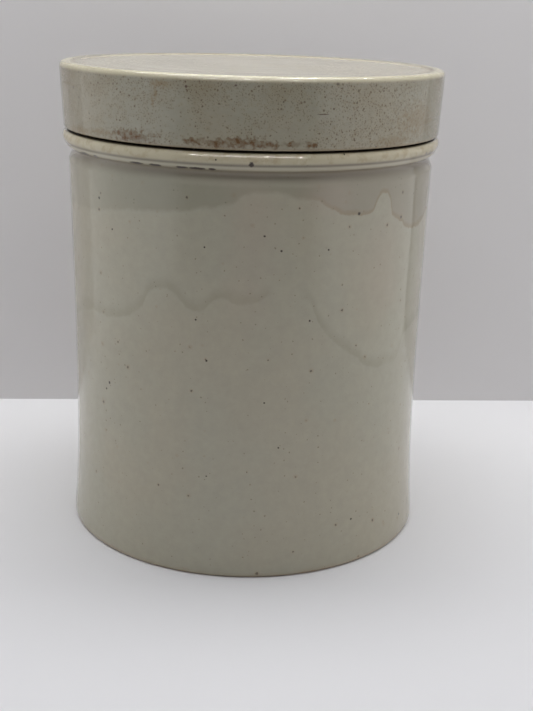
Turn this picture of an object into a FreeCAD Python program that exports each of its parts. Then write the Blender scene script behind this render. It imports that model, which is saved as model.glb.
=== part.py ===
import FreeCAD, Part
import math
import os

import Sketcher

# Stoneware jar with a capping lid, as a parametric document. Millimetres, +Z up.
# The origin is the middle of the foot, in the plane that the jar stands on.
#
# jar: thrown in one piece. A foot that swells a little, a side that draws in to a waist, a hollow
#      under a rolled bead, the flat ledge on top of the bead and the neck that rises from it. The jar
#      is shut, so it is one solid inside, up to the top of the neck.
# lid: a cap whose skirt drops over the neck. It rests on the neck, so a thin dark gap stays between
#      the skirt and the bead. Its top is dished inside a low rounded rim.

doc = FreeCAD.newDocument("StonewareJar")

# ---------------------------------------------------------------------------------------------
# Sizes: the driving dimensions, then what follows from them.
# ---------------------------------------------------------------------------------------------

DRIVING = [
    ("body_radius", 52.0, "radius of the side where it meets the hollow under the bead"),
    ("ledge_height", 115.85, "height of the ledge on top of the bead"),
    ("waist_height", 34.0, "height of the narrowest part of the side"),
    ("waist_depth", 0.85, "how far the waist draws in from body_radius"),
    ("foot_height", 2.5, "height of the foot's widest part"),
    ("foot_flare", 0.45, "how far the foot swells beyond body_radius"),
    ("foot_edge", 0.8, "rounding of the edge that the jar stands on"),
    ("foot_ring", 7.0, "width of the ring that the jar stands on"),
    ("recess_depth", 1.2, "depth of the hollow inside the foot ring"),
    ("recess_slope", 1.0, "run of the recess's slanting wall"),
    ("bead_projection", 1.65, "how far the rolled bead stands out from body_radius"),
    ("roll_height", 3.4, "height of the bead's main roll"),
    ("roll_bulge", 0.7, "how far the roll bulges from its two edges"),
    ("roll_edge", 1.0, "rounding between the roll and the ledge"),
    ("ridge_height", 1.5, "height of the thin ridge under the roll"),
    ("cove_height", 2.9, "height of the hollow under the bead"),
    ("cove_depth", 0.85, "depth of the hollow under the bead"),
    ("cove_softening", 2.5, "rounding where the hollow meets the side"),
    ("neck_inset", 4.5, "how far the neck stands in from body_radius"),
    ("neck_height", 12.5, "height of the neck above the ledge"),
    ("neck_edge", 1.0, "rounding of the neck's top edge"),
    ("neck_clearance", 0.6, "gap between the neck and the lid's skirt, on the radius"),
    ("lid_gap", 0.45, "gap between the skirt's lower edge and the ledge"),
    ("lid_overhang", 1.2, "how far the skirt's lower edge stands out from body_radius"),
    ("skirt_flare", 0.85, "how far the skirt widens towards the top"),
    ("skirt_edge", 0.5, "rounding of the skirt's lower edges"),
    ("plate_thickness", 5.7, "lid's thickness from the neck's top to the top of the rim"),
    ("rim_round", 1.3, "rounding of the lid's upper edge"),
    ("rim_width", 4.2, "distance from the lid's upper edge to the dished top"),
    ("dish_depth", 0.4, "depth of the dished top below the rim"),
    ("dish_slope", 1.6, "run of the slope from the rim down to the dished top"),
]

# An arc that stands off a straight line of length L by a bulge B has the radius (L^2/4 + B^2) / 2B.
# One that leaves a line at a tangent and is B away from it after a length L has (L^2 + B^2) / 2B.
DERIVED = [
    ("foot_radius", "body_radius + foot_flare"),
    ("waist_radius", "body_radius - waist_depth"),
    ("bead_radius", "body_radius + bead_projection"),
    ("quirk_radius", "bead_radius - roll_bulge"),
    ("neck_radius", "body_radius - neck_inset"),
    ("ring_radius", "foot_radius - foot_ring"),
    ("recess_radius", "ring_radius - recess_slope"),
    ("quirk_height", "ledge_height - roll_height"),
    ("ridge_foot_height", "quirk_height - ridge_height"),
    ("side_height", "ridge_foot_height - cove_height"),
    ("neck_top", "ledge_height + neck_height"),
    ("roll_arc", "(roll_height^2 / 4 + roll_bulge^2) / (2 * roll_bulge)"),
    ("ridge_step", "quirk_radius - body_radius"),
    ("ridge_arc", "(ridge_height^2 + ridge_step^2) / (2 * ridge_step)"),
    ("cove_arc", "(cove_height^2 / 4 + cove_depth^2) / (2 * cove_depth)"),
    ("side_rise", "side_height - waist_height"),
    ("side_arc", "(side_rise^2 + waist_depth^2) / (2 * waist_depth)"),
    ("flare_rise", "waist_height - foot_height"),
    ("flare_run", "foot_radius - waist_radius"),
    ("flare_arc", "(flare_rise^2 + flare_run^2) / (2 * flare_run)"),
    ("skirt_radius", "body_radius + lid_overhang"),
    ("lid_radius", "skirt_radius + skirt_flare"),
    ("socket_radius", "neck_radius + neck_clearance"),
    ("socket_depth", "neck_height - lid_gap"),
    ("lid_height", "socket_depth + plate_thickness"),
    ("lid_seat", "ledge_height + lid_gap"),
    ("dish_radius", "lid_radius - rim_width"),
    ("dish_floor_radius", "dish_radius - dish_slope"),
    ("dish_floor", "lid_height - dish_depth"),
    ("socket_corner", "neck_edge + neck_clearance / 2"),
]

sheet = doc.addObject("Spreadsheet::Sheet", "Sizes")


def add_size(alias, content, note=""):
    """One row of the sheet: the size's name, its value or formula under that alias, and what it is."""
    row = add_size.next_row = getattr(add_size, "next_row", 0) + 1
    sheet.set(f"A{row}", alias)
    sheet.set(f"B{row}", content)
    sheet.set(f"C{row}", note)
    sheet.setAlias(f"B{row}", alias)


for name, value, meaning in DRIVING:
    add_size(name, str(value), meaning)
for name, formula in DERIVED:
    add_size(name, "=" + formula, "follows from the sizes above")
doc.recompute()


def size(alias):
    """A size's value, for the first place of a sketch's geometry before its constraints hold it."""
    return float(sheet.get(alias))


# ---------------------------------------------------------------------------------------------
# Drawing and turning: an outline in a body's XZ plane, revolved about the vertical axis.
# ---------------------------------------------------------------------------------------------

ORIGIN = (-1, 1)  # a sketch's own origin, horizontal axis and vertical axis
FLOOR = -1
AXIS = -2
OUTWARD = 1  # which side of its chord an arc stands on
INWARD = -1


def arc_between(start, end, radius, side):
    """The arc from start to end that stands off its chord on the given side."""
    chord = end - start
    bulge = radius - math.sqrt(max(radius**2 - (chord.Length / 2) ** 2, 0.0))
    across = FreeCAD.Vector(chord.y, -chord.x, 0).normalize()
    if across.x * side < 0:
        across = -across
    return Part.Arc(start, (start + end) / 2 + across * bulge, end)


def hold(sketch, constraint, cell):
    """Adds a dimension and ties it to a cell of the sheet."""
    number = sketch.addConstraint(constraint)
    sketch.setExpression(f"Constraints[{number}]", f"Sizes.{cell}")


def draw_outline(body, label, corners):
    """A closed outline through corners, each given as (radius cell, height cell, edge to the next corner).

    None as a radius puts the corner on the axis, and None as a height puts it on the floor plane. An
    edge is None for a straight line, or (cell of the arc's radius, OUTWARD or INWARD).
    """
    sketch = body.newObject("Sketcher::SketchObject", label)
    planes = [p for p in body.Origin.OriginFeatures if p.Role == "XZ_Plane"]
    sketch.AttachmentSupport = (planes[0], [""])
    sketch.MapMode = "FlatFace"

    points = [
        FreeCAD.Vector(size(radius) if radius else 0, size(height) if height else 0, 0)
        for radius, height, _ in corners
    ]
    starts, ends = [], []
    for number, (_, _, edge) in enumerate(corners):
        start, end = points[number], points[(number + 1) % len(points)]
        if edge:
            shape = arc_between(start, end, size(edge[0]), edge[1])
        else:
            shape = Part.LineSegment(start, end)
        geometry = sketch.addGeometry(shape)
        turned = (sketch.getPoint(geometry, 1) - start).Length > (sketch.getPoint(geometry, 2) - start).Length
        starts.append((geometry, 2 if turned else 1))
        ends.append((geometry, 1 if turned else 2))

    for number, (radius, height, edge) in enumerate(corners):
        corner = starts[number]
        sketch.addConstraint(Sketcher.Constraint("Coincident", *ends[number - 1], *corner))
        if radius is None and height is None:
            sketch.addConstraint(Sketcher.Constraint("Coincident", *corner, *ORIGIN))
        elif radius is None:
            sketch.addConstraint(Sketcher.Constraint("PointOnObject", *corner, AXIS))
        elif height is None:
            sketch.addConstraint(Sketcher.Constraint("PointOnObject", *corner, FLOOR))
        if radius:
            hold(sketch, Sketcher.Constraint("DistanceX", *ORIGIN, *corner, size(radius)), radius)
        if height:
            hold(sketch, Sketcher.Constraint("DistanceY", *ORIGIN, *corner, size(height)), height)
        if edge:
            hold(sketch, Sketcher.Constraint("Radius", corner[0], size(edge[0])), edge[0])
    doc.recompute()
    return sketch


def turn(body, kind, label, corners):
    """Turns an outline all the way round: kind is Revolution to add it or Groove to cut it away."""
    before = body.Shape.Volume if body.Tip else 0.0
    sketch = draw_outline(body, label + "_outline", corners)
    feature = body.newObject("PartDesign::" + kind, label)
    feature.Profile = sketch
    feature.ReferenceAxis = (sketch, ["V_Axis"])
    feature.Angle = 360
    sketch.Visibility = False
    doc.recompute()
    if (body.Shape.Volume > before) != (kind == "Revolution"):
        raise RuntimeError(f"{label} did not change its body as it should")
    return feature


def round_edge(body, label, radius_cell, height_cell, rounding):
    """Rounds the circular edge at a radius and height of the body; None as a height is the floor plane."""
    radius = size(radius_cell)
    height = size(height_cell) if height_cell else 0.0
    base = body.Tip
    names = [
        f"Edge{number}"
        for number, edge in enumerate(base.Shape.Edges, start=1)
        if isinstance(edge.Curve, Part.Circle)
        and abs(edge.Curve.Radius - radius) < 1e-4
        and abs(edge.Curve.Center.z - height) < 1e-4
    ]
    if len(names) != 1:
        raise RuntimeError(f"{label} needs one edge and found {len(names)}")
    fillet = body.newObject("PartDesign::Fillet", label)
    fillet.Base = (base, names)
    fillet.Radius = size(rounding)
    fillet.setExpression("Radius", f"Sizes.{rounding}")
    doc.recompute()


def new_body(label, seat=None):
    """An empty body; seat names the cell that holds its height in the assembly."""
    body = doc.addObject("PartDesign::Body", label.capitalize())
    body.Label = label
    body.Placement = FreeCAD.Placement()
    if seat:
        body.setExpression(".Placement.Base.z", f"Sizes.{seat}")
    doc.recompute()
    return body


# ---------------------------------------------------------------------------------------------
# The jar: the thrown form, the recess turned into its foot, then the edges that the glaze softens.
# ---------------------------------------------------------------------------------------------

jar = new_body("jar")
turn(jar, "Revolution", "thrown_form", [
    (None, None, None),
    ("foot_radius", None, None),
    ("foot_radius", "foot_height", ("flare_arc", INWARD)),
    ("waist_radius", "waist_height", ("side_arc", INWARD)),
    ("body_radius", "side_height", ("cove_arc", INWARD)),
    ("body_radius", "ridge_foot_height", ("ridge_arc", OUTWARD)),
    ("quirk_radius", "quirk_height", ("roll_arc", OUTWARD)),
    ("quirk_radius", "ledge_height", None),
    ("neck_radius", "ledge_height", None),
    ("neck_radius", "neck_top", None),
    (None, "neck_top", None),
])
turn(jar, "Groove", "foot_recess", [
    (None, None, None),
    ("ring_radius", None, None),
    ("recess_radius", "recess_depth", None),
    (None, "recess_depth", None),
])
round_edge(jar, "foot_rounding", "foot_radius", None, "foot_edge")
round_edge(jar, "cove_rounding", "body_radius", "side_height", "cove_softening")
round_edge(jar, "roll_rounding", "quirk_radius", "ledge_height", "roll_edge")
round_edge(jar, "neck_rounding", "neck_radius", "neck_top", "neck_edge")

# ---------------------------------------------------------------------------------------------
# The lid, drawn from its skirt's lower edge up: a tapered blank, the socket that takes the neck
# and the dished top, then its rounded edges. It rests on the neck, face to face.
# ---------------------------------------------------------------------------------------------

lid = new_body("lid", seat="lid_seat")
turn(lid, "Revolution", "cap_form", [
    (None, None, None),
    ("skirt_radius", None, None),
    ("lid_radius", "lid_height", None),
    (None, "lid_height", None),
])
turn(lid, "Groove", "neck_socket", [
    (None, None, None),
    ("socket_radius", None, None),
    ("socket_radius", "socket_depth", None),
    (None, "socket_depth", None),
])
turn(lid, "Groove", "dished_top", [
    (None, "dish_floor", None),
    ("dish_floor_radius", "dish_floor", None),
    ("dish_radius", "lid_height", None),
    (None, "lid_height", None),
])
round_edge(lid, "rim_rounding", "lid_radius", "lid_height", "rim_round")
round_edge(lid, "skirt_rounding", "skirt_radius", None, "skirt_edge")
round_edge(lid, "mouth_rounding", "socket_radius", None, "skirt_edge")
round_edge(lid, "socket_rounding", "socket_radius", "socket_depth", "socket_corner")

# ---------------------------------------------------------------------------------------------
# Checks, then one STEP file for each piece.
# ---------------------------------------------------------------------------------------------

doc.recompute()
for thing in doc.Objects:
    if {"Invalid", "Error"} & set(thing.State):
        raise RuntimeError(f"{thing.Label} failed: {thing.State}")
    if thing.TypeId == "Sketcher::SketchObject" and not thing.FullyConstrained:
        raise RuntimeError(f"{thing.Label} isn't fully constrained")
for piece in (jar, lid):
    if piece.Shape.isNull() or not piece.Shape.isValid() or len(piece.Shape.Solids) != 1:
        raise RuntimeError(f"{piece.Label} isn't one valid solid")

os.makedirs("parts", exist_ok=True)
for piece in (jar, lid):
    piece.Shape.exportStep(f"parts/{piece.Label}.step")
    box = piece.Shape.optimalBoundingBox()
    print(
        f"{piece.Label}: radius {box.XMax:.2f}, height {box.ZMin:.2f} to {box.ZMax:.2f} mm,"
        f" {piece.Shape.Volume / 1000:.1f} ml"
    )
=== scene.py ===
# %% [markdown]
# # A lidded stoneware jar
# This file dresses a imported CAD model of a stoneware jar: a thrown pot with a rolled bead under its
# lid, and a cap that drops over its neck. The CAD model gives the exact places and sizes. Here both
# pieces of pottery are made again as fine smooth meshes with the small unevenness of hand work, and
# they get a glaze made wholly of shader nodes. Lengths inside the functions are in millimetres,
# because a potter thinks in them, and they become metres only when a mesh is made.

# %% Load the frame
import math

import bpy
import numpy as np
from mathutils import Matrix, Vector


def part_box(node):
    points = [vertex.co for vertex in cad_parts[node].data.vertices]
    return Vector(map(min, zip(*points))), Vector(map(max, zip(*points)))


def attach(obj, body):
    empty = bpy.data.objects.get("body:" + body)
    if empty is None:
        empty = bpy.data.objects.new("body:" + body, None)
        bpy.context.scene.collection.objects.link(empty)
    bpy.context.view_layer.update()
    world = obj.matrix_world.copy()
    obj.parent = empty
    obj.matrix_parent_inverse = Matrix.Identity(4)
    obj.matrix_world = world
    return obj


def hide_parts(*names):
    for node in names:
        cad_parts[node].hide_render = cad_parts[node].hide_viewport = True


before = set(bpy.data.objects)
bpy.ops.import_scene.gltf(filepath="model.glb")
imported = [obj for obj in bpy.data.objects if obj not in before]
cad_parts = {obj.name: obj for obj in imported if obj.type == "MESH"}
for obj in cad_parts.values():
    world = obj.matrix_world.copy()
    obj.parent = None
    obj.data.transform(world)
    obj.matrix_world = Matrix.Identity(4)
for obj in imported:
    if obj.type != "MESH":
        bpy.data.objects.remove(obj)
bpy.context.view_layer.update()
MM = 0.001  # one millimetre in metres

# %% [markdown]
# ## A thrown form
# Anything made on a potter's wheel is an outline carried round an axis. The outline is drawn here as a
# dense row of points (radius, height). Straight runs and arcs come from their end points and from how
# far they bulge, and each corner is softened, because glaze never lies in a sharp corner. A Screw
# modifier could turn the outline too, but a grid of our own lets every point move a little afterwards.

# %% Draw an outline
def run(start, end, bulge=0.0, count=160):
    """Points from start towards end. A parabola pushes the middle of the run sideways by bulge:
    point = start + t * (end - start) + 4 * bulge * t * (1 - t) * (unit vector across the run)."""
    t = np.linspace(0.0, 1.0, count, endpoint=False)[:, None]
    along = np.array(end, float) - np.array(start, float)
    across = np.array([along[1], -along[0]]) / np.hypot(*along)
    return np.array(start) + t * along + 4.0 * bulge * t * (1.0 - t) * across


def arc_run(start, end, bulge, count=160):
    """Points along the circular arc from start towards end that stands off its chord by bulge: the
    radius is (L^2 / 4 + B^2) / 2B for a chord of length L, and equal angles give equal steps."""
    start, end = np.array(start, float), np.array(end, float)
    chord = end - start
    length = np.hypot(*chord)
    along, across = chord / length, np.array([chord[1], -chord[0]]) / length
    radius = (length ** 2 / 4 + bulge ** 2) / (2 * abs(bulge))
    half = math.asin(min(1.0, length / 2 / radius))
    angle = np.linspace(-half, half, count, endpoint=False)[:, None]
    rise = radius * (np.cos(angle) - math.cos(half)) * math.copysign(1.0, bulge)
    return start + along * (length / 2 + radius * np.sin(angle)) + across * rise


def soften(outline, corner, reach):
    """Swaps the outline within reach of a corner for a smooth curve. The curve is a cubic with the
    outline's own directions at both ends, so no crease is left where it begins."""
    steps = np.hypot(*np.diff(outline, axis=0).T)
    travelled = np.concatenate([[0.0], np.cumsum(steps)])
    middle = travelled[np.argmin(np.hypot(*(outline - np.array(corner)).T))]
    before, after = middle - reach, middle + reach

    def at(distance):
        return np.array([np.interp(distance, travelled, outline[:, axis]) for axis in (0, 1)])

    first, last = at(before), at(after)
    leaving = (first - at(before - 0.02)) / 0.02
    arriving = (at(after + 0.02) - last) / 0.02
    t = np.linspace(0.0, 1.0, 40)[:, None]
    handle = 0.58 * reach
    curve = (
        (1 - t) ** 3 * first
        + 3 * (1 - t) ** 2 * t * (first + leaving * handle)
        + 3 * (1 - t) * t ** 2 * (last - arriving * handle)
        + t ** 3 * last
    )
    return np.concatenate([outline[travelled < before], curve, outline[travelled > after]])


def spread_rows(outline, rows):
    """Picks rows points along the outline. Their spacing mixes distance (1 for each 1.1 mm) with
    turning (1 for each 6 degrees), so the rolls get many rows and the plain side few."""
    steps = np.diff(outline, axis=0)
    length = np.hypot(*steps.T)
    heading = np.unwrap(np.arctan2(steps[:, 1], steps[:, 0]))
    turning = np.abs(np.diff(heading, prepend=heading[0]))
    effort = np.concatenate([[0.0], np.cumsum(length / 1.1 + turning / math.radians(6.0))])
    wanted = np.linspace(0.0, effort[-1], rows)
    return np.stack([np.interp(wanted, effort, outline[:, axis]) for axis in (0, 1)], axis=1)


print("an arc over 3.4 mm that bulges 0.7 mm:", np.round(arc_run((0, 0), (0, 3.4), 0.7, 3), 2).tolist())

# %% [markdown]
# ## The jar's outline
# From the middle of the underside the outline runs out over the shallow recess, round the ring that
# the jar stands on, up the side with its slight waist, through the hollow under the bead, over the
# thin ridge and the main roll, across the ledge and up the neck. The heights and radii are the CAD
# model's, to within a few tenths of a millimetre, so the new surface lies on the old one.

# %% The jar's outline
BODY_RADIUS = 52.0
FOOT_RADIUS, FOOT_HEIGHT = 52.45, 2.5
WAIST_RADIUS, WAIST_HEIGHT = 51.15, 34.0
RING_RADIUS, RECESS_RADIUS, RECESS_DEPTH = 45.45, 44.45, 1.2
SIDE_TOP, RIDGE_FOOT, QUIRK, LEDGE = 108.05, 111.05, 112.6, 115.85
QUIRK_RADIUS, ROLL_TOP_RADIUS, NECK_RADIUS = 53.0, 51.9, 47.5
NECK_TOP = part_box("jar")[1][2] / MM


def side_run(count=500):
    """The side: radius = waist + (change over the part) * (distance from the waist / length of part)^2."""
    height = np.linspace(FOOT_HEIGHT, SIDE_TOP, count, endpoint=False)
    above = (height - WAIST_HEIGHT) / (SIDE_TOP - WAIST_HEIGHT)
    below = (WAIST_HEIGHT - height) / (WAIST_HEIGHT - FOOT_HEIGHT)
    radius = WAIST_RADIUS + np.where(
        above > 0, (BODY_RADIUS - WAIST_RADIUS) * above ** 2, (FOOT_RADIUS - WAIST_RADIUS) * below ** 2
    )
    return np.stack([radius, height], axis=1)


jar_outline = np.concatenate([
    run((0.0, RECESS_DEPTH), (RECESS_RADIUS, RECESS_DEPTH)),
    run((RECESS_RADIUS, RECESS_DEPTH), (RING_RADIUS, 0.0)),
    run((RING_RADIUS, 0.0), (FOOT_RADIUS, 0.0)),
    run((FOOT_RADIUS, 0.0), (FOOT_RADIUS, FOOT_HEIGHT)),
    side_run(),
    arc_run((BODY_RADIUS, SIDE_TOP), (BODY_RADIUS, RIDGE_FOOT), -0.85),
    arc_run((BODY_RADIUS, RIDGE_FOOT), (QUIRK_RADIUS, QUIRK), 0.23),
    arc_run((QUIRK_RADIUS, QUIRK), (ROLL_TOP_RADIUS, LEDGE), 1.08),
    run((ROLL_TOP_RADIUS, LEDGE), (NECK_RADIUS, LEDGE)),
    run((NECK_RADIUS, LEDGE), (NECK_RADIUS, NECK_TOP)),
    run((NECK_RADIUS, NECK_TOP), (0.0, NECK_TOP)),
    [[0.0, NECK_TOP]],
])
JAR_CORNERS = [
    ((RECESS_RADIUS, RECESS_DEPTH), 0.7), ((RING_RADIUS, 0.0), 0.6), ((FOOT_RADIUS, 0.0), 0.9),
    ((BODY_RADIUS, SIDE_TOP), 1.1), ((BODY_RADIUS, RIDGE_FOOT), 0.7), ((QUIRK_RADIUS, QUIRK), 0.6),
    ((ROLL_TOP_RADIUS, LEDGE), 0.4), ((NECK_RADIUS, LEDGE), 0.5), ((NECK_RADIUS, NECK_TOP), 1.0),
]
for corner, reach in JAR_CORNERS:
    jar_outline = soften(jar_outline, corner, reach)
print("jar outline:", len(jar_outline), "points, widest", round(jar_outline[:, 0].max(), 2), "mm")

# %% [markdown]
# ## The lid's outline
# The lid is a shallow cap. Its skirt widens a little towards the top, the upper edge is a soft round,
# and the top dips behind a low rim. Underneath is the socket that takes the neck. Its roof is
# 0.05 mm clear of the neck here, so that two faces never lie in the same place.

# %% The lid's outline
SKIRT_FOOT, LID_TOP = [corner[2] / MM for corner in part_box("lid")]
SKIRT_RADIUS, LID_RADIUS, SOCKET_RADIUS = 53.2, 54.05, 48.1
SOCKET_ROOF = NECK_TOP + 0.05
DISH_RADIUS, DISH_FLOOR_RADIUS, DISH_FLOOR = 49.85, 48.25, LID_TOP - 0.4
SHOULDER, RIM_CREST = LID_TOP - 0.45, 51.3

lid_outline = np.concatenate([
    run((0.0, SOCKET_ROOF), (SOCKET_RADIUS, SOCKET_ROOF)),
    run((SOCKET_RADIUS, SOCKET_ROOF), (SOCKET_RADIUS, SKIRT_FOOT)),
    run((SOCKET_RADIUS, SKIRT_FOOT), (SKIRT_RADIUS, SKIRT_FOOT)),
    run((SKIRT_RADIUS, SKIRT_FOOT), (LID_RADIUS, SHOULDER)),
    arc_run((LID_RADIUS, SHOULDER), (RIM_CREST, LID_TOP), 0.22),
    run((RIM_CREST, LID_TOP), (DISH_RADIUS, LID_TOP)),
    run((DISH_RADIUS, LID_TOP), (DISH_FLOOR_RADIUS, DISH_FLOOR)),
    run((DISH_FLOOR_RADIUS, DISH_FLOOR), (0.0, DISH_FLOOR)),
    [[0.0, DISH_FLOOR]],
])
LID_CORNERS = [
    ((SOCKET_RADIUS, SOCKET_ROOF), 1.3), ((SOCKET_RADIUS, SKIRT_FOOT), 0.5),
    ((SKIRT_RADIUS, SKIRT_FOOT), 0.55), ((LID_RADIUS, SHOULDER), 1.1), ((RIM_CREST, LID_TOP), 0.5),
    ((DISH_RADIUS, LID_TOP), 0.8), ((DISH_FLOOR_RADIUS, DISH_FLOOR), 0.8),
]
for corner, reach in LID_CORNERS:
    lid_outline = soften(lid_outline, corner, reach)
print("lid outline:", len(lid_outline), "points, widest", round(lid_outline[:, 0].max(), 2), "mm")

# %% [markdown]
# ## Turning the outline
# The surface is a function of two parameters: the row along the outline and the angle round the axis.
# The whole grid of points is one array. The first and the last row lie on the axis, so each becomes a
# single point with a fan of triangles, and the last column joins the first. That closes the surface.

# %% Turn an outline into a closed mesh
ROWS, AROUND = 288, 320


def wheel_grid(outline):
    """Angle, radius and height arrays of shape (ROWS, AROUND). Angle 0 faces -Y and +X is at +90."""
    spread = spread_rows(outline, ROWS)
    angle = np.tile(np.arange(AROUND) * 2 * np.pi / AROUND, (ROWS, 1))
    return angle, np.repeat(spread[:, :1], AROUND, 1), np.repeat(spread[:, 1:], AROUND, 1)


def closed_mesh(name, angle, radius, height):
    """A mesh whose point is (r sin a, -r cos a, h) for each place of the grid, with both ends closed
    at the axis. The outline starts underneath and ends on top, so faces wound this way look outwards."""
    points = np.stack([radius * np.sin(angle), -radius * np.cos(angle), height], axis=-1) * MM
    rows = len(points)
    ring = points[1:-1].reshape(-1, 3)
    ends = points[[0, -1]].mean(axis=1)
    vertices = np.concatenate([ring, ends])
    index = np.arange((rows - 2) * AROUND).reshape(rows - 2, AROUND)
    after = np.roll(index, -1, axis=1)
    quads = np.stack([index[:-1], after[:-1], after[1:], index[1:]], axis=-1).reshape(-1, 4)
    bottom = np.stack([np.full(AROUND, len(ring)), after[0], index[0]], axis=-1)
    top = np.stack([np.full(AROUND, len(ring) + 1), index[-1], after[-1]], axis=-1)
    mesh = bpy.data.meshes.new(name)
    mesh.from_pydata(vertices.tolist(), [], quads.tolist() + bottom.tolist() + top.tolist())
    mesh.shade_smooth()
    piece = bpy.data.objects.new(name, mesh)
    bpy.context.scene.collection.objects.link(piece)
    print(f"{name}: {len(vertices)} points, {2 * len(quads) + 2 * AROUND} triangles")
    return piece


# %% [markdown]
# ## The hand in it
# A pot from the wheel is never quite round. It keeps faint rings from the potter's fingers and slow
# swells from drying and from the kiln. Sums of a few sine waves give both. They only ever take
# material away, so the pot stays inside the size it was designed to have.

# %% Unevenness of the jar
def slow_swell(angle, height, depth, phase):
    """Depth times a sum of slow waves round and up the form, scaled to lie between -depth and 0."""
    wave = (
        np.sin(2 * angle + phase + height / 41.0)
        + 0.6 * np.sin(3 * angle - 1.7 * phase - height / 23.0)
        + 0.35 * np.sin(5 * angle + 2.3 * phase + height / 13.0)
    )
    return depth * (wave / 3.9 - 0.5)


def finger_rings(height, angle, depth, pitch):
    """Shallow rings that climb as a spiral: depth times waves of the height, one turn per pitch."""
    climb = height / pitch + angle / (2 * np.pi)
    beat = 0.6 + 0.4 * np.sin(height / 9.0 + 1.3)
    return depth * beat * (0.5 * np.sin(2 * np.pi * climb) + 0.2 * np.sin(2 * np.pi * height / 3.7) - 0.7)


angle, radius, height = wheel_grid(jar_outline)
on_side = np.clip((height - 3.0) / 8.0, 0, 1) * np.clip((SIDE_TOP - height) / 6.0, 0, 1)
on_wall = np.clip((radius - 50.5) / 0.5, 0, 1)
radius = radius + on_wall * slow_swell(angle, height, 0.09, 0.8)
radius = radius + on_side * finger_rings(height, angle, 0.022, 7.3)
on_bead = np.clip((height - RIDGE_FOOT) / 1.0, 0, 1) * np.clip((radius - 49.0) / 2.0, 0, 1)
radius = radius + on_bead * 0.05 * (np.sin(7 * angle + 0.4) * np.sin(3 * angle + 1.1) - 1)
jar_piece = closed_mesh("glazed_jar", angle, radius, height)

# %% [markdown]
# The lid was pressed down and fired on its own. Its skirt hangs a little lower at one side, so the dark
# gap is wider at the other side, and its upper edge is rounder and lower there too. Both are a slow
# turn of the height with the angle.

# %% Unevenness of the lid
angle, radius, height = wheel_grid(lid_outline)
right_hand = 0.5 + 0.5 * np.cos(angle - math.radians(95.0))
up_skirt = np.clip((height - SKIRT_FOOT) / (LID_TOP - SKIRT_FOOT), 0, 1)
outside = np.clip((radius - 20.0) / 34.0, 0, 1)
height = height - 0.18 * right_hand ** 2 * outside * np.clip((up_skirt - 0.72) / 0.28, 0, 1)
height = height - (0.16 * right_hand - 0.02) * np.clip(1.0 - 3.0 * up_skirt, 0, 1) * (radius > 47.9)
on_skirt = np.clip((radius - 52.0) / 0.8, 0, 1)
radius = radius + on_skirt * slow_swell(angle, height, 0.08, 2.1)
radius = radius + on_skirt * np.clip(1.0 - up_skirt ** 6, 0, 1) * finger_rings(height, angle, 0.03, 5.1)
on_top = np.clip((height - DISH_FLOOR + 1.3) / 0.3, 0, 1) * (radius < 50.5)
top_rings = 0.035 * np.sin(radius / 1.35) + 0.05 * np.sin(radius / 5.2 + 0.7)
height = height + on_top * top_rings * (radius / 50.0)
lid_piece = closed_mesh("glazed_lid", angle, radius, np.minimum(height, LID_TOP))

# %% [markdown]
# ## Building shaders in code
# Small helpers keep the node trees readable. The first adds a node, sets its own settings and fills its
# inputs with plain values or with links. The others are the steps of arithmetic, the masks, the mixes
# and the noise that every finish below is made of.

# %% Helpers for node trees
def add(tree, kind, inputs=None, **settings):
    """Adds a node of a kind. inputs maps a socket's name or number to a value or to another socket."""
    node = tree.nodes.new("ShaderNode" + kind)
    for name, value in settings.items():
        setattr(node, name, value)
    for key, value in (inputs or {}).items():
        if isinstance(value, bpy.types.NodeSocket):
            tree.links.new(value, node.inputs[key])
        else:
            node.inputs[key].default_value = value
    return node


def calc(tree, operation, first, second=0.0, clamp=False):
    """One Math node, and the socket with its result."""
    return add(tree, "Math", {0: first, 1: second}, operation=operation, use_clamp=clamp).outputs[0]


def times(tree, *factors):
    """The product of several values or sockets."""
    total = factors[0]
    for factor in factors[1:]:
        total = calc(tree, "MULTIPLY", total, factor)
    return total


def plus(tree, *terms):
    """The sum of several values or sockets."""
    total = terms[0]
    for term in terms[1:]:
        total = calc(tree, "ADD", total, term)
    return total


def arrow(tree, operation, first, second=None):
    """One Vector Math node. SCALE takes a number as second. LENGTH gives a number, the rest a vector."""
    inputs = {0: first}
    if second is not None:
        inputs["Scale" if operation == "SCALE" else 1] = second
    node = add(tree, "VectorMath", inputs, operation=operation)
    return node.outputs[1 if operation == "LENGTH" else 0]


def fade(tree, value, start, end):
    """0 where value is at start and 1 where it is at end, with a smooth curve between."""
    return add(
        tree, "MapRange", {"Value": value, "From Min": start, "From Max": end},
        interpolation_type="SMOOTHSTEP",
    ).outputs[0]


def band(tree, value, start, full_from, full_to, end):
    """1 from full_from to full_to, and a fade down to 0 at start and at end."""
    return times(tree, fade(tree, value, start, full_from), fade(tree, value, end, full_to))


def blend(tree, amount, under, over):
    """Mixes two colours by a mask."""
    return add(tree, "Mix", {0: amount, 6: under, 7: over}, data_type="RGBA").outputs[2]


def noise(tree, place, size, detail=3.0, roughness=0.5):
    """Noise whose grain is about size millimetres, as a value from 0 to 1."""
    values = {"Vector": place, "Scale": 1.0 / size, "Detail": detail, "Roughness": roughness}
    return add(tree, "TexNoise", values).outputs["Fac"]


def paint(red, green, blue):
    """An ordinary screen colour, 0 to 255, as the linear colour that a shader takes."""
    share = np.array([red, green, blue]) / 255.0
    linear = np.where(share <= 0.04045, share / 12.92, ((share + 0.055) / 1.055) ** 2.4)
    return (*linear.tolist(), 1.0)


print("mid grey 128 is", round(paint(128, 128, 128)[0], 3), "in linear light")

# %% [markdown]
# A node group is a small tree with named inputs and outputs that several materials can use. The next
# three helpers make an empty group, link its results to its outputs, and place it in a material.

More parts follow.
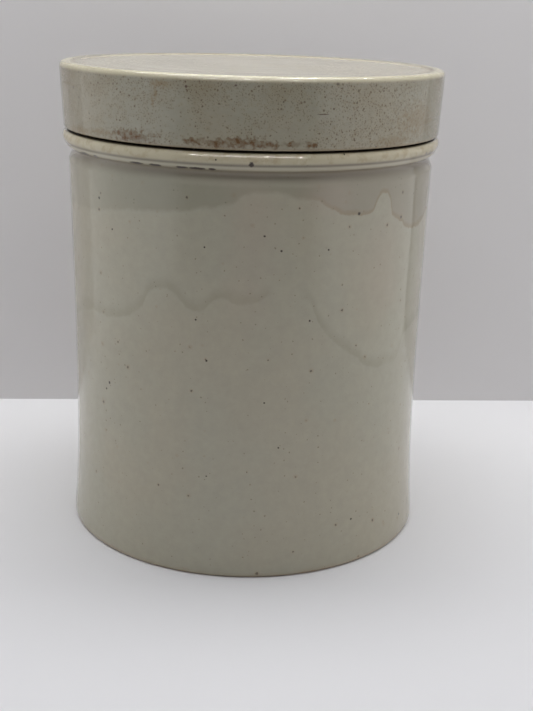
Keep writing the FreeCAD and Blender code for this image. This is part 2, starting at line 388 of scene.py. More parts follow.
# %% Helpers for node groups
def new_group(name, inputs, outputs):
    """An empty node group with named sockets: inputs as name: (kind, default), outputs as name: kind."""
    group = bpy.data.node_groups.new(name, "ShaderNodeTree")
    for label, (kind, default) in inputs.items():
        socket = group.interface.new_socket(label, in_out="INPUT", socket_type="NodeSocket" + kind)
        if default is not None:
            socket.default_value = default
    for label, kind in outputs.items():
        group.interface.new_socket(label, in_out="OUTPUT", socket_type="NodeSocket" + kind)
    return group, group.nodes.new("NodeGroupInput").outputs


def give(group, results):
    """Links results to the group's outputs of the same names, and says how large the group is."""
    out = group.nodes.new("NodeGroupOutput").inputs
    for label, socket in results.items():
        group.links.new(socket, out[label])
    print("group", group.name, "made with", len(group.nodes), "nodes")


def use(tree, group, inputs):
    """Places a node group in a tree and returns its outputs."""
    return add(tree, "Group", inputs, node_tree=group).outputs


# %% [markdown]
# ## Where a mark sits on a pot
# A potter would say "a third of the way round, a thumb below the bead". This group gives a shader the
# same words: the angle from the front in degrees, the height in millimetres and the distance from the
# axis. It also unrolls the wall like a paper label, so that a stain can be placed with two lengths.

# %% Group: place on the wheel
wheel_place, given = new_group(
    "wheel_place",
    {"Position": ("Vector", None)},
    {"Millimetres": "Vector", "Angle": "Float", "Height": "Float", "Radius": "Float", "Unrolled": "Vector"},
)
millimetres = arrow(wheel_place, "SCALE", given["Position"], 1.0 / MM)
split = add(wheel_place, "SeparateXYZ", {0: millimetres}).outputs
turn = calc(wheel_place, "ARCTAN2", split["X"], times(wheel_place, split["Y"], -1.0))
flat = add(wheel_place, "CombineXYZ", {"X": split["X"], "Y": split["Y"]}).outputs[0]
arc_length = times(wheel_place, turn, BODY_RADIUS)
give(wheel_place, {
    "Millimetres": millimetres,
    "Angle": calc(wheel_place, "DEGREES", turn),
    "Height": split["Z"],
    "Radius": arrow(wheel_place, "LENGTH", flat),
    "Unrolled": add(wheel_place, "CombineXYZ", {"X": arc_length, "Y": split["Z"]}).outputs[0],
})
print("one degree on the wall is", round(math.radians(BODY_RADIUS), 2), "mm long")

# %% [markdown]
# ## Iron specks
# Stoneware clay holds grains of iron that melt through the glaze as tiny brown dots, each with a pale
# rusty halo. Voronoi cells give every grain its own point in space and a random colour. The colour
# decides whether the cell has a grain at all and how large it is, so the dots vary as real ones do.

# %% Group: iron specks
iron_specks, given = new_group(
    "iron_specks",
    {"Millimetres": ("Vector", None), "Cell": ("Float", 3.0), "Share": ("Float", 0.3),
     "Largest": ("Float", 0.4)},
    {"Speck": "Float", "Halo": "Float"},
)
wobble = add(iron_specks, "TexNoise", {"Vector": given["Millimetres"], "Scale": 1.6, "Detail": 2.0})
wobble = arrow(iron_specks, "SCALE", wobble.outputs["Color"], 0.5)
wobbled = arrow(iron_specks, "ADD", wobble, given["Millimetres"])
per_millimetre = calc(iron_specks, "DIVIDE", 1.0, given["Cell"])
cells = add(iron_specks, "TexVoronoi", {"Vector": wobbled, "Scale": per_millimetre}).outputs
chance = add(iron_specks, "SeparateColor", {0: cells["Color"]}).outputs
has_grain = calc(iron_specks, "LESS_THAN", chance["Red"], given["Share"])
squared = calc(iron_specks, "POWER", chance["Green"], 2.0)
size_share = plus(iron_specks, 0.35, times(iron_specks, 0.65, squared))
size_mm = times(iron_specks, given["Largest"], size_share)
away_mm = times(iron_specks, cells["Distance"], given["Cell"])
ratio = calc(iron_specks, "DIVIDE", away_mm, size_mm)
give(iron_specks, {
    "Speck": times(iron_specks, fade(iron_specks, ratio, 1.15, 0.65), has_grain),
    "Halo": times(iron_specks, fade(iron_specks, ratio, 2.6, 0.8), has_grain),
})

# %% [markdown]
# ## Stains
# A stain is an ellipse on the unrolled wall whose edge is pulled about by noise. Its middle and its
# reach are two vectors in millimetres, so one group draws a rust smudge, a blush in the glaze, a run
# or a single iron spot. Soft is the half width of its edge, as a share of the reach.

# %% Group: stain
stain, given = new_group(
    "stain",
    {"Unrolled": ("Vector", None), "Middle": ("Vector", None), "Reach": ("Vector", (5.0, 2.0, 1.0)),
     "Grain": ("Float", 1.0), "Ragged": ("Float", 0.5), "Soft": ("Float", 0.3)},
    {"Mask": "Float"},
)
offset = arrow(stain, "SUBTRACT", given["Unrolled"], given["Middle"])
distance = arrow(stain, "LENGTH", arrow(stain, "DIVIDE", offset, given["Reach"]))
per_grain = calc(stain, "DIVIDE", 1.0, given["Grain"])
grain = add(stain, "TexNoise", {"Vector": given["Unrolled"], "Scale": per_grain, "Detail": 4.0})
push = times(stain, calc(stain, "SUBTRACT", grain.outputs["Fac"], 0.5), times(stain, given["Ragged"], 4.0))
inner_edge = calc(stain, "SUBTRACT", 0.85, given["Soft"])
outer_edge = plus(stain, 0.85, given["Soft"])
give(stain, {"Mask": fade(stain, plus(stain, distance, push), outer_edge, inner_edge)})


def mark(tree, unrolled, degrees, height, reach_along, reach_up, ragged=0.4, grain=1.0, soft=0.3):
    """A stain's mask at an angle in degrees from the front and a height in millimetres."""
    middle = (math.radians(degrees) * BODY_RADIUS, height, 0.0)
    values = {"Unrolled": unrolled, "Middle": middle, "Reach": (reach_along, reach_up, 1.0),
              "Grain": grain, "Ragged": ragged, "Soft": soft}
    return use(tree, stain, values)["Mask"]


def gather(tree, masks):
    """The strongest of several masks at each place."""
    total = masks[0]
    for mask in masks[1:]:
        total = calc(tree, "MAXIMUM", total, mask)
    return total


def marks(tree, unrolled, spots, **edge):
    """One mask for a list of stains, each (degrees, height, reach along, reach up)."""
    return gather(tree, [mark(tree, unrolled, *spot, **edge) for spot in spots])


# %% [markdown]
# ## The glaze itself
# Both pieces were dipped in the same glaze, so its body is one group: a pale greenish grey that drifts
# to a warmer tone in soft clouds, finer mottling over it, and the faint dimples of a fired glaze. The
# dimples come out as a height in millimetres, for a Bump node to turn into shading.

# %% Group: glaze body
glaze_body, given = new_group(
    "glaze_body",
    {"Millimetres": ("Vector", None), "Cool": ("Color", paint(169, 165, 148)),
     "Warm": ("Color", paint(171, 165, 147)), "Mottle": ("Float", 0.05)},
    {"Color": "Color", "Relief": "Float"},
)
place = given["Millimetres"]
cloud = fade(glaze_body, noise(glaze_body, place, 34.0, 3.0, 0.55), 0.38, 0.62)
tone = blend(glaze_body, cloud, given["Cool"], given["Warm"])
fine = calc(glaze_body, "SUBTRACT", noise(glaze_body, place, 2.6, 5.0, 0.65), 0.5)
shade = plus(glaze_body, 1.0, times(glaze_body, fine, times(glaze_body, given["Mottle"], 4.0)))
dimples = times(glaze_body, noise(glaze_body, place, 1.9, 1.5), 0.010)
waves = times(glaze_body, noise(glaze_body, place, 11.0, 1.0), 0.045)
give(glaze_body, {
    "Color": arrow(glaze_body, "SCALE", tone, shade),
    "Relief": plus(glaze_body, dimples, waves),
})

# %% [markdown]
# ## How a finish begins and ends
# Every glaze material starts from the object's own coordinates, turned into a potter's words by the
# wheel_place group. It ends in one Principled shader, with the relief passed through a Bump node.

# %% Start and end of a glaze material
def empty_material(name):
    """A material whose tree is emptied, the tree, and the socket that takes its surface."""
    material = bpy.data.materials.new(name)
    material.use_nodes = True
    tree = material.node_tree
    tree.nodes.clear()
    return material, tree, add(tree, "OutputMaterial").inputs["Surface"]


def glaze_material(name):
    """An empty material, its tree, and the place of each point as the wheel_place group gives it."""
    material, tree, _ = empty_material(name)
    position = add(tree, "TexCoord").outputs["Object"]
    return material, tree, use(tree, wheel_place, {"Position": position})


def finish(tree, color, roughness, relief):
    """Ends a tree in a glossy glaze. The relief is a height in millimetres."""
    bump = add(tree, "Bump", {"Height": relief, "Distance": MM, "Strength": 1.0})
    shader = add(
        tree, "BsdfPrincipled",
        {"Base Color": color, "Roughness": roughness, "IOR": 1.5, "Normal": bump.outputs["Normal"]},
    )
    tree.links.new(shader.outputs[0], tree.nodes["Material Output"].inputs["Surface"])
    print("finish made with", len(tree.nodes), "nodes")


# %% [markdown]
# ## The jar: two lines in the glaze
# The pot went into the glaze twice. The second coat ends in a scalloped edge below the bead, a little
# darker above and with a faint brownish line on one side. Lower down a tide line wanders round the
# wall, where the wet glaze stood still for a moment. A Float Curve node holds each line as a height
# for every angle, because it can rise and fall at will and still meet itself at the back.

# %% Lines that wander round the wall
DIP_LINE = [
    (-180, 97), (-150, 101), (-128, 98), (-105, 102), (-82, 97), (-63, 96.5), (-44, 98.4), (-26, 99.8),
    (-12, 101.6), (-4, 103.2), (4, 105.9), (12, 104.8), (19, 103.8), (25, 101), (33, 99.7), (38.5, 100.4),
    (42, 104.6), (46, 99), (52, 96), (60, 93.5), (82, 99), (108, 95.5), (132, 101), (158, 96), (180, 97),
]
TIDE_LINE = [
    (-180, 66), (-150, 60), (-122, 70), (-96, 58), (-55, 69), (-46, 69), (-38, 71), (-32, 75), (-26, 80),
    (-20, 78), (-14, 75), (-8, 79), (-3, 77.5), (3, 78), (9, 80.5), (16, 79), (21, 72), (27, 66),
    (35, 61), (43, 57), (52, 56.5), (59, 64), (84, 66), (112, 56), (140, 69), (180, 66),
]


def wandering_line(tree, angle, line):
    """The height of a line on the wall at an angle. A Float Curve holds its points."""
    share = calc(tree, "DIVIDE", plus(tree, angle, 180.0), 360.0)
    node = add(tree, "FloatCurve", {"Value": share})
    points = node.mapping.curves[0].points
    low, high = min(height for _, height in line), max(height for _, height in line)
    spots = [((degrees + 180.0) / 360.0, (height - low) / (high - low)) for degrees, height in line]
    points[0].location, points[-1].location = spots[0], spots[-1]
    for spot in spots[1:-1]:
        points.new(*spot)
    node.mapping.update()
    return plus(tree, times(tree, node.outputs[0], high - low), low)


def above_line(tree, height, angle, line, ragged):
    """How far a place lies above a wandering line, in millimetres. ragged frays the line."""
    return plus(tree, calc(tree, "SUBTRACT", height, wandering_line(tree, angle, line)), ragged)


print("lines:", len(DIP_LINE), "points for the second coat,", len(TIDE_LINE), "for the tide")

# %% [markdown]
# The material starts with the body of the glaze and lays both lines over it. The same noise frays
# both, and a fade over the angle lets the coat thin out towards one side, as it did when it was poured.

# %% The jar's glaze, the second coat and the tide line
jar_glaze, tree, place = glaze_material("jar_glaze")
millimetres, radius, height = place["Millimetres"], place["Radius"], place["Height"]
angle, unrolled = place["Angle"], place["Unrolled"]
body = use(tree, glaze_body, {"Millimetres": millimetres})
ragged = times(tree, calc(tree, "SUBTRACT", noise(tree, millimetres, 4.0, 5.0, 0.65), 0.5), 2.6)

above_dip = above_line(tree, height, angle, DIP_LINE, ragged)
coat_tint = blend(tree, fade(tree, angle, 6.0, 24.0), paint(144, 142, 125), paint(149, 142, 126))
coat_depth = plus(tree, 0.25, times(tree, fade(tree, angle, -60.0, -32.0), 0.4))
color = blend(tree, times(tree, fade(tree, above_dip, -0.8, 0.8), coat_depth), body["Color"], coat_tint)
brown_line = times(tree, band(tree, above_dip, -0.5, 0.0, 0.1, 1.4), fade(tree, angle, 14.0, 26.0))
color = blend(tree, times(tree, brown_line, 0.4), color, paint(139, 119, 88))

above_tide = above_line(tree, height, angle, TIDE_LINE, ragged)
tide_patch = fade(tree, noise(tree, millimetres, 14.0, 2.0), 0.32, 0.52)
tide = times(tree, band(tree, above_tide, -0.8, 0.3, 0.4, 4.2), tide_patch, 0.31)
color = blend(tree, tide, color, paint(140, 138, 117))
print("glaze and lines made with", len(tree.nodes), "nodes")

# %% [markdown]
# ## The jar: blushes and specks
# Where the fire touched it the glaze blushes a faint pink. Fine specks lie everywhere, larger ones
# here and there. Both kinds come from the iron_specks group, with cells of a different size.

# %% Blushes and specks on the jar
BLUSHES = [(1.0, 96, 7, 22), (44.0, 88, 9, 15), (22.0, 104, 7, 4), (-118, 60, 12, 20), (150, 84, 10, 22)]
blush = marks(tree, unrolled, BLUSHES, ragged=0.35, grain=14.0, soft=0.75)
color = blend(tree, times(tree, blush, 0.24), color, paint(176, 159, 145))

fine_specks = use(
    tree, iron_specks, {"Millimetres": millimetres, "Cell": 1.5, "Share": 0.6, "Largest": 0.25}
)
color = blend(tree, times(tree, fine_specks["Speck"], 0.5), color, paint(96, 84, 62))
specks = use(tree, iron_specks, {"Millimetres": millimetres, "Cell": 4.0, "Share": 0.55, "Largest": 0.42})
color = blend(tree, times(tree, specks["Halo"], 0.22), color, paint(150, 120, 88))
color = blend(tree, times(tree, specks["Speck"], 0.8), color, paint(62, 52, 40))
print("blushes:", len(BLUSHES))

# %% [markdown]
# ## The jar: the mouldings
# The hollows are painted darker as painted shade, and the bead and the ridge are painted pale as painted
# light from above, although the glaze there has worn to a warmer tone in patches. Each moulding is a band of
# height, taken from the outline's values.

# %% Painted shade, painted light and wear on the mouldings
in_cove = band(tree, height, SIDE_TOP - 0.45, RIDGE_FOOT - 0.85, RIDGE_FOOT + 0.05, QUIRK - 0.5)
in_quirk = band(tree, height, QUIRK - 0.6, QUIRK, QUIRK, QUIRK + 0.8)
hollow_painted_shade = gather(tree, [times(tree, in_cove, 0.62), times(tree, in_quirk, 0.55)])
# Painted shade: the cove under the bead and the quirk are painted darker.
color = blend(tree, hollow_painted_shade, color, paint(112, 100, 82))
on_roll = band(tree, height, QUIRK, QUIRK + 0.8, LEDGE + 0.05, LEDGE + 1.15)
# Painted light: the roll of the bead is painted paler, as if lit from above.
color = blend(tree, times(tree, on_roll, 0.65), color, paint(204, 194, 164))
on_ridge = band(tree, height, RIDGE_FOOT - 0.05, RIDGE_FOOT + 0.45, QUIRK - 0.6, QUIRK - 0.1)
# Painted light: the ridge is painted paler, as if lit.
color = blend(tree, times(tree, on_ridge, 0.4), color, paint(206, 198, 174))
worn = times(tree, fade(tree, noise(tree, millimetres, 2.4, 4.0, 0.65), 0.46, 0.66), on_roll)
color = blend(tree, times(tree, worn, 0.30), color, paint(146, 120, 80))
print("bead from", QUIRK, "to", LEDGE, "mm")

# %% [markdown]
# ## The jar: single grains and skips
# A few grains of iron are large enough to remember one by one: each is (degrees, height, size). Under
# the bead the glaze drew back from the sharp ridge and left short dark skips, (degrees, half length).
# In the gap under the lid no light comes in, so the ledge is painted dark there as painted shade.

# %% Grains, skips and the painted shade in the gap
GRAINS = [
    (-50, 100.5, 0.7), (-44, 93, 0.55), (-12.5, 91.6, 0.5), (4.3, 95, 0.55), (9.2, 91.2, 0.6),
    (23.2, 91, 0.5), (32.8, 99.8, 0.8), (-15, 72.4, 0.5), (18.3, 72.5, 0.6), (-11.7, 61.5, 0.6),
    (-47.2, 49.7, 0.8), (-48.8, 47.6, 0.6), (5.5, 50.5, 0.5), (10.1, 37.7, 0.5), (-11.4, 29, 0.45),
    (35.7, 13.4, 0.6), (62, 7, 0.7), (0.2, 113.0, 1.3), (62, 113.2, 0.8), (65.5, 113.2, 0.7),
    (-50.5, 111.3, 0.8), (-9.2, 113.9, 0.45), (26, 115.3, 0.45),
]
SKIPS = [
    (-57, 2.6), (-50.5, 1.0), (-33, 2.4), (-27, 1.8), (-19, 2.2), (-14.7, 2.6), (-10.4, 1.0),
    (152, 4.0), (-131, 2.6),
]
SKIP_HEIGHT = 111.4
grain_spots = [(degrees, up, 0.55 * size, 0.55 * size) for degrees, up, size in GRAINS]
grains = marks(tree, unrolled, grain_spots, ragged=0.25, grain=0.5)
color = blend(tree, grains, color, paint(44, 28, 14))
skip_spots = [(degrees, SKIP_HEIGHT, half_length, 0.34) for degrees, half_length in SKIPS]
skips = marks(tree, unrolled, skip_spots, ragged=0.3, grain=1.6)
color = blend(tree, skips, color, paint(38, 22, 8))

# Painted shade: the ledge inside the gap under the lid is painted nearly black.
in_gap = times(tree, fade(tree, radius, 53.0, 52.4), fade(tree, height, LEDGE - 0.65, LEDGE - 0.15))
color = blend(tree, times(tree, in_gap, 0.9), color, paint(48, 40, 32))
print("grains:", len(GRAINS), "skips:", len(SKIPS))

# %% [markdown]
# ## The jar: the bare foot
# The lowest edge is bare clay, because glaze there would have stuck the pot to the kiln shelf. Just
# above it the glaze is thin and a little toasted. The edge between them wavers with noise.

# %% The foot, then the jar's finish
foot_line = plus(tree, height, times(tree, calc(tree, "SUBTRACT", noise(tree, millimetres, 5.0), 0.5), 1.2))
bare = fade(tree, foot_line, 0.65, 0.35)
clay_grain = noise(tree, millimetres, 0.8, 4.0)
clay = blend(tree, clay_grain, paint(138, 120, 98), paint(164, 146, 122))
color = blend(tree, times(tree, fade(tree, foot_line, 1.8, 0.6), 0.25), color, paint(158, 136, 108))
color = blend(tree, bare, color, clay)

pitted = gather(tree, [grains, skips, specks["Speck"]])
rough = plus(tree, 0.05, times(tree, noise(tree, millimetres, 7.0), 0.06), times(tree, pitted, 0.25))
rough = calc(tree, "ADD", rough, times(tree, bare, 0.62), clamp=True)
relief = plus(tree, body["Relief"], times(tree, pitted, -0.05), times(tree, clay_grain, bare, 0.06))
finish(tree, color, rough, relief)

# %% [markdown]
# ## The lid: the top
# The lid has the same glaze, fired a little darker. Its top, where it faces up, is painted paler as
# painted light from above, with faint streaks left by the potter's fingers. Rings are made by feeding the
# noise a place
# that hardly changes along the ring: the heading from the axis, with the radius as its height.

# %% The lid's glaze and the streaks on its top
lid_glaze, tree, place = glaze_material("lid_glaze")
millimetres, radius, height = place["Millimetres"], place["Radius"], place["Height"]
angle, unrolled = place["Angle"], place["Unrolled"]
body = use(
    tree, glaze_body,
    {"Millimetres": millimetres, "Cool": paint(156, 153, 137), "Warm": paint(159, 153, 135), "Mottle": 0.06},
)
facing_up = fade(tree, height, 131.0, 133.0)
on_top = times(tree, fade(tree, radius, 50.4, 49.4), facing_up)
# Painted light: the upward faces of the top are painted paler, as if lit from above.
color = blend(tree, times(tree, on_top, 0.8), body["Color"], paint(195, 188, 166))

heading = arrow(tree, "NORMALIZE", arrow(tree, "MULTIPLY", millimetres, (1.0, 1.0, 0.0)))
ring_place = arrow(tree, "ADD", heading, add(tree, "CombineXYZ", {"Z": radius}).outputs[0])
ring_streaks = fade(tree, noise(tree, ring_place, 3.4, 4.0, 0.7), 0.46, 0.58)
streak_patch = fade(tree, noise(tree, millimetres, 18.0, 2.0), 0.36, 0.56)
streaks = times(tree, ring_streaks, streak_patch, on_top)
color = blend(tree, times(tree, streaks, 0.42), color, paint(128, 116, 96))
print("lid's glaze and streaks made with", len(tree.nodes), "nodes")

# %% [markdown]
# ## The lid: pepper
# The lid stood higher in the kiln and caught far more iron. Its skirt is peppered with fine brown
# dots, thickest towards one side and under the rim, and thin on the top. One mask, density, says how
# many there are at a place, and three sizes of specks follow it. A haze of brown lies between them.

# %% Pepper on the lid
peppered = band(tree, angle, 14.0, 56.0, 88.0, 120.0)
under_rim = fade(tree, height, 124.5, 132.0)
clouds = fade(tree, noise(tree, millimetres, 9.0, 2.0), 0.40, 0.66)
off_top = calc(tree, "SUBTRACT", 1.0, on_top)
density = plus(
    tree, 0.07, times(tree, clouds, 0.24), times(tree, under_rim, 0.30), times(tree, peppered, 1.15)
)
density = times(tree, density, calc(tree, "SUBTRACT", 1.0, times(tree, on_top, 0.75)))
haze = times(tree, clouds, plus(tree, 0.06, times(tree, under_rim, 0.18)), off_top)
color = blend(tree, haze, color, paint(132, 116, 80))

DUSTS = [  # cell, largest speck, share of the density, strength and colour
    (0.45, 0.24, 2.8, 0.6, paint(96, 80, 54)),
    (0.8, 0.28, 1.5, 0.75, paint(76, 58, 36)),
    (2.6, 0.46, 0.34, 0.8, paint(58, 44, 30)),
]
dusts = []
for cell, largest, share, strength, tint in DUSTS:
    share_here = times(tree, density, share)
    dust = use(
        tree, iron_specks,
        {"Millimetres": millimetres, "Cell": cell, "Share": share_here, "Largest": largest},
    )
    dusts.append(dust["Speck"])
    color = blend(tree, times(tree, dust["Halo"], 0.16), color, paint(144, 124, 82))
    color = blend(tree, times(tree, dust["Speck"], strength), color, tint)
print("sizes of pepper:", len(DUSTS))

# %% [markdown]
# ## The lid: rust, smudges and a scratch
# Along the lower edge of the skirt years of handling rubbed through the glaze, and the iron below it
# turned to rust-brown smudges. Fainter ones lie beside them and under the rim. Each stain is
# (degrees, height, reach along, reach up), and dabs of noise break the rust up.

# %% Rust and other marks on the lid
RUBBED = [
    (-34, 118.1, 6.5, 1.7), (-37, 118.4, 3.5, 1.3), (-15, 118.1, 3.0, 0.9), (-9, 117.9, 4.0, 1.1),
    (-3.5, 118.1, 4.2, 1.3), (1.5, 118.3, 3.4, 1.2), (5, 117.8, 2.0, 0.9), (11, 118.0, 3.0, 0.7),
    (16, 118.0, 1.6, 0.9), (128, 118.2, 7.0, 1.3), (-142, 117.9, 9.0, 1.2), (178, 118.1, 4.0, 1.0),
]
FAINT = [
    (-58, 117.6, 7.0, 1.0), (-46, 118.0, 5.0, 0.9), (43, 117.9, 7.0, 1.4), (-24.5, 131.6, 2.6, 0.9),
    (-66, 129.0, 3.0, 0.5), (-26, 129.6, 0.5, 2.2), (-27, 127.0, 0.45, 1.4), (54, 122.5, 9.0, 4.0),
]
SCRATCHES = [
    (19.0, 125.2, 1.5, 0.16), (21.9, 126.5, 0.3, 0.3), (-4.2, 131.8, 0.35, 0.3), (-17.2, 131.1, 0.4, 0.4),
]
rubbed = marks(tree, unrolled, RUBBED, ragged=0.8, grain=1.3, soft=0.55)
dabs = fade(tree, noise(tree, millimetres, 1.5, 2.5, 0.6), 0.40, 0.62)
rust = times(tree, rubbed, plus(tree, 0.36, times(tree, dabs, 0.60)))
color = blend(tree, rust, color, paint(94, 60, 6))
faint = marks(tree, unrolled, FAINT, ragged=0.7, grain=1.2, soft=0.6)
color = blend(tree, times(tree, faint, 0.34), color, paint(130, 104, 60))
scratches = marks(tree, unrolled, SCRATCHES, ragged=0.2, grain=0.6)
color = blend(tree, times(tree, scratches, 0.85), color, paint(76, 50, 36))
print("smudges:", len(RUBBED) + len(FAINT), "scratches:", len(SCRATCHES))

# %% [markdown]
# ## The lid: rim and edges
# The rim band is painted pale, as painted light. A thin line of dirt follows its foot, stronger at the front
# than behind. The lowest edge is a little brown, and the socket underneath is painted dark, as painted shade
# where no light reaches it.

# %% The rim, then the lid's finish
on_rim = times(tree, fade(tree, radius, 50.2, 51.0), fade(tree, height, 132.3, 133.3))
# Painted light: the rim band is painted pale, as if lit.
color = blend(tree, times(tree, on_rim, 0.8), color, paint(196, 189, 162))
broken = fade(tree, noise(tree, millimetres, 3.0, 4.0, 0.7), 0.30, 0.55)
at_front = fade(tree, calc(tree, "ABSOLUTE", angle), 130.0, 70.0)
dirt_strength = plus(tree, 0.25, times(tree, at_front, 0.65))
dirt_line = times(tree, band(tree, radius, 49.2, 50.0, 50.4, 51.1), broken, facing_up, dirt_strength)
color = blend(tree, dirt_line, color, paint(104, 84, 54))
color = blend(tree, times(tree, fade(tree, height, 117.0, 116.5), 0.4), color, paint(150, 126, 96))
# Painted shade: the socket under the lid is painted nearly black.
in_socket = times(tree, fade(tree, radius, 53.0, 52.5), fade(tree, height, 116.7, 116.4))
color = blend(tree, times(tree, in_socket, 0.9), color, paint(48, 40, 32))

marked = gather(tree, [rust, scratches, *dusts])
rough = plus(tree, 0.05, times(tree, noise(tree, millimetres, 7.0), 0.07))
rough = calc(tree, "ADD", rough, times(tree, marked, 0.3), clamp=True)
finish(tree, color, rough, plus(tree, body["Relief"], times(tree, marked, -0.03)))

# %% [markdown]
# ## Joining the CAD frame
# Each piece gets its finish, moves with a CAD body and takes the place of a CAD node, which is hidden.
# The jar and the lid are one body, because the lid only rests there.

# %% Dress the frame
for piece, node, material in ((jar_piece, "jar", jar_glaze), (lid_piece, "lid", lid_glaze)):
    piece.data.materials.append(material)
    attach(piece, "root")
    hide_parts(node)
    print(piece.name, "replaces", node)

# %% [markdown]
# ## The light tent
# Such a pot is looked at in a white tent: a pale floor, white walls left and right, a white back, a
# soft light above and two rows of small lamps. Only the floor and the back are for the eye. The side
# walls are there for the glaze to mirror, so the camera doesn't see them.

# %% Helpers for the stage
BACK_Y, LEFT_X, RIGHT_X, FRONT_Y, CEILING_Z = 0.093, -0.24, 0.215, -0.30, 0.50
BACK_TURN = 0.052  # the back stands a little askew: metres of depth for each metre across
PALE = paint(176, 174, 175)


def panel(name, corners):
    """A flat four-cornered stage piece. Its face looks to the side from which the corners run round
    anticlockwise."""
    mesh = bpy.data.meshes.new(name)
    mesh.from_pydata(corners, [], [(0, 1, 2, 3)])
    piece = bpy.data.objects.new(name, mesh)
    bpy.context.scene.collection.objects.link(piece)
    return piece


def glow(tree, color):
    """A surface that shows its colour as it is, whatever light falls on it."""
    return add(tree, "Emission", {"Color": color, "Strength": 1.0}).outputs[0]


# %% [markdown]
# ## The floor
# Near the jar the floor is matt paint and takes the jar's shadow. Further off, and past the back, the
# camera sees an even pale tone instead, so that the stage has no dark end from any side. Light Path's
# Is Camera Ray does that, and the light on the jar stays as it was.

# %% Floor
FLOOR_REACH = 2.5
WALL_FOOT = 0.0008  # the even tone starts this far before the back, so no thin line shows at its foot
floor = panel("floor", [
    (-FLOOR_REACH, -FLOOR_REACH, 0), (FLOOR_REACH, -FLOOR_REACH, 0),
    (FLOOR_REACH, FLOOR_REACH, 0), (-FLOOR_REACH, FLOOR_REACH, 0),
])
floor_paint, tree, surface = empty_material("floor_paint")
spot = add(tree, "TexCoord").outputs["Object"]
parts = add(tree, "SeparateXYZ", {0: spot}).outputs
near_color = blend(tree, fade(tree, parts["Y"], 0.06, -0.10), paint(230, 230, 232), paint(219, 219, 222))
matt = add(tree, "BsdfDiffuse", {"Color": near_color}).outputs[0]
away = arrow(tree, "LENGTH", spot)
past_wall = calc(tree, "SUBTRACT", parts["Y"], times(tree, parts["X"], BACK_TURN))
plain = gather(tree, [fade(tree, away, 0.14, 0.21), fade(tree, past_wall, BACK_Y - WALL_FOOT, BACK_Y)])
plain = times(tree, plain, add(tree, "LightPath").outputs["Is Camera Ray"])
far_color = blend(tree, fade(tree, away, 0.5, 2.0), paint(213, 213, 215), PALE)
shown = add(tree, "MixShader", {0: plain, 1: matt, 2: glow(tree, far_color)}).outputs[0]
tree.links.new(shown, surface)
floor.data.materials.append(floor_paint)
print("floor:", 2 * FLOOR_REACH, "m across")

# %% [markdown]
# ## Back and side walls
# The back is matt paint, but from behind the camera looks through it, so that every side of the jar
# can be looked at. The side walls glow, and are dimmer towards the open front.

# %% Back and side walls
BACK_REACH, BACK_HEIGHT = 0.6, 0.9
left_end, right_end = BACK_Y - BACK_REACH * BACK_TURN, BACK_Y + BACK_REACH * BACK_TURN
back = panel("back", [
    (-BACK_REACH, left_end, 0), (BACK_REACH, right_end, 0),
    (BACK_REACH, right_end, BACK_HEIGHT), (-BACK_REACH, left_end, BACK_HEIGHT),
])
back_paint, tree, surface = empty_material("back_paint")
matt = add(tree, "BsdfDiffuse", {"Color": paint(214, 212, 213)}).outputs[0]
clear = add(tree, "BsdfTransparent").outputs[0]
behind = add(tree, "NewGeometry").outputs["Backfacing"]
hidden = times(tree, behind, add(tree, "LightPath").outputs["Is Camera Ray"])
tree.links.new(add(tree, "MixShader", {0: hidden, 1: matt, 2: clear}).outputs[0], surface)
back.data.materials.append(back_paint)

wall_paint, tree, surface = empty_material("wall_paint")
depth = add(tree, "SeparateXYZ", {0: add(tree, "TexCoord").outputs["Object"]}).outputs["Y"]
wall_color = blend(tree, fade(tree, depth, FRONT_Y, -0.18), PALE, paint(240, 240, 241))
tree.links.new(glow(tree, wall_color), surface)
front_low, front_high = (FRONT_Y, 0), (FRONT_Y, CEILING_Z)
back_low, back_high = (BACK_Y, 0), (BACK_Y, CEILING_Z)
for name, side, corners in (
    ("left_wall", LEFT_X, (front_low, front_high, back_high, back_low)),
    ("right_wall", RIGHT_X, (front_low, back_low, back_high, front_high)),
):
    wall = panel(name, [(side, *corner) for corner in corners])
    wall.data.materials.append(wall_paint)
    wall.visible_camera = False
    print(name, "stands", abs(side), "m from the axis")

# %% [markdown]
# ## Lamps and world
# One broad soft lamp is the tent's bright roof. The glints on the rim and the bead are rows of dots,
# so they come from rows of small lamps, which the glaze mirrors and which add no diffuse light. The
# world is dim for the light and pale for the eye and for reflections.

# %% Lamps and world
def lamp(name, place, aim, size, power):
    """A soft rectangular lamp at a place, turned to face aim."""
    light = bpy.data.lights.new(name, "AREA")
    light.shape = "RECTANGLE"
    light.size, light.size_y = size
    light.energy = power
    thing = bpy.data.objects.new(name, light)
    thing.location = place
    thing.rotation_euler = (Vector(aim) - Vector(place)).to_track_quat("-Z", "Y").to_euler()
    bpy.context.scene.collection.objects.link(thing)
    return thing


lamp("tent_top", (0, 0.04, 0.50), (0, 0.04, 0), (0.42, 0.18), 1.7)
fill = lamp("front_fill", (0, -0.20, 0.40), (0, -0.02, 0.1), (0.34, 0.05), 0.25)
fill.visible_glossy = False

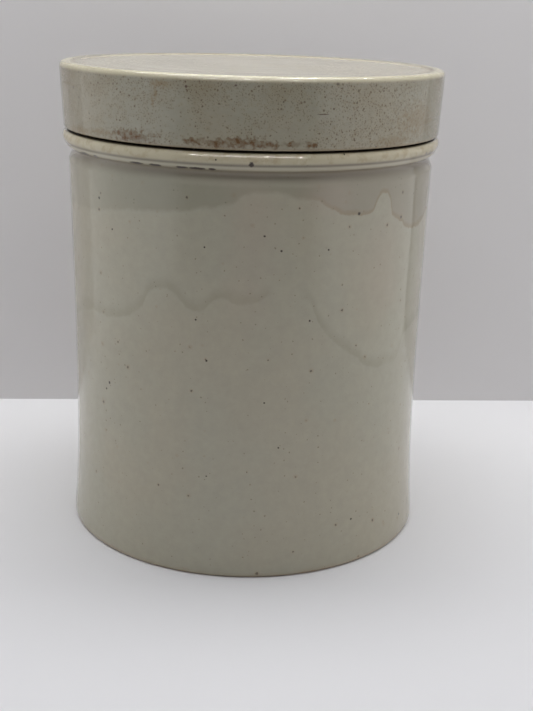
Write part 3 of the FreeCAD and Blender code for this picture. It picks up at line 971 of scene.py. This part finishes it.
SMALL_LAMP = (0.010, 0.008)
STRIPS = [  # name, depth, height, length, number of lamps, power of each
    ("front", -0.28, 0.40, 0.56, 18, 0.16),
    ("rear", 0.055, 0.36, 0.34, 18, 0.05),
]
for strip, depth, level, length, count, watts in STRIPS:
    for number, across in enumerate(np.linspace(-length / 2, length / 2, count).tolist()):
        small = lamp(f"{strip}_{number:02d}", (across, depth, level), (0, 0, 0.12), SMALL_LAMP, watts)
        small.visible_diffuse = False
print("small lamps:", sum(row[4] for row in STRIPS))

world = bpy.data.worlds.new("room")
bpy.context.scene.world = world
world.use_nodes = True
tree = world.node_tree
tree.nodes.clear()
ray = add(tree, "LightPath").outputs
seen = gather(tree, [ray["Is Camera Ray"], ray["Is Glossy Ray"], ray["Is Transmission Ray"]])
room_color = blend(tree, seen, paint(70, 70, 70), PALE)
background = add(tree, "Background", {"Color": room_color, "Strength": 1.0}).outputs[0]
tree.links.new(background, add(tree, "OutputWorld").inputs["Surface"])

# %% [markdown]
# ## The camera
# The camera stands a third of a metre in front of the jar and two centimetres above the lid, and looks
# down a little, so the top shows as a thin ellipse. It is rolled by a degree and a half, as a camera
# in the hand is.

# %% Camera
PITCH, YAW, ROLL = 0.3041, 0.0181, 0.0271
EYE = (0.0, -0.3362, 0.1531)
camera_data = bpy.data.cameras.new("camera")
camera_data.lens = 58.5
camera_data.sensor_width = 36.0
camera_data.sensor_fit = "AUTO"
camera = bpy.data.objects.new("camera", camera_data)
bpy.context.scene.collection.objects.link(camera)
ahead = Vector((math.sin(YAW) * math.cos(PITCH), math.cos(YAW) * math.cos(PITCH), -math.sin(PITCH)))
right = Vector((math.cos(YAW), -math.sin(YAW), 0.0))
up = right.cross(ahead)
tilted_right = math.cos(ROLL) * right + math.sin(ROLL) * up
tilted_up = math.cos(ROLL) * up - math.sin(ROLL) * right
turned = Matrix((tilted_right, tilted_up, -ahead)).transposed().to_4x4()
camera.matrix_world = Matrix.Translation(EYE) @ turned
bpy.context.scene.camera = camera
bpy.context.scene.view_settings.view_transform = "Standard"
print("camera looks down by", round(math.degrees(PITCH), 1), "degrees")
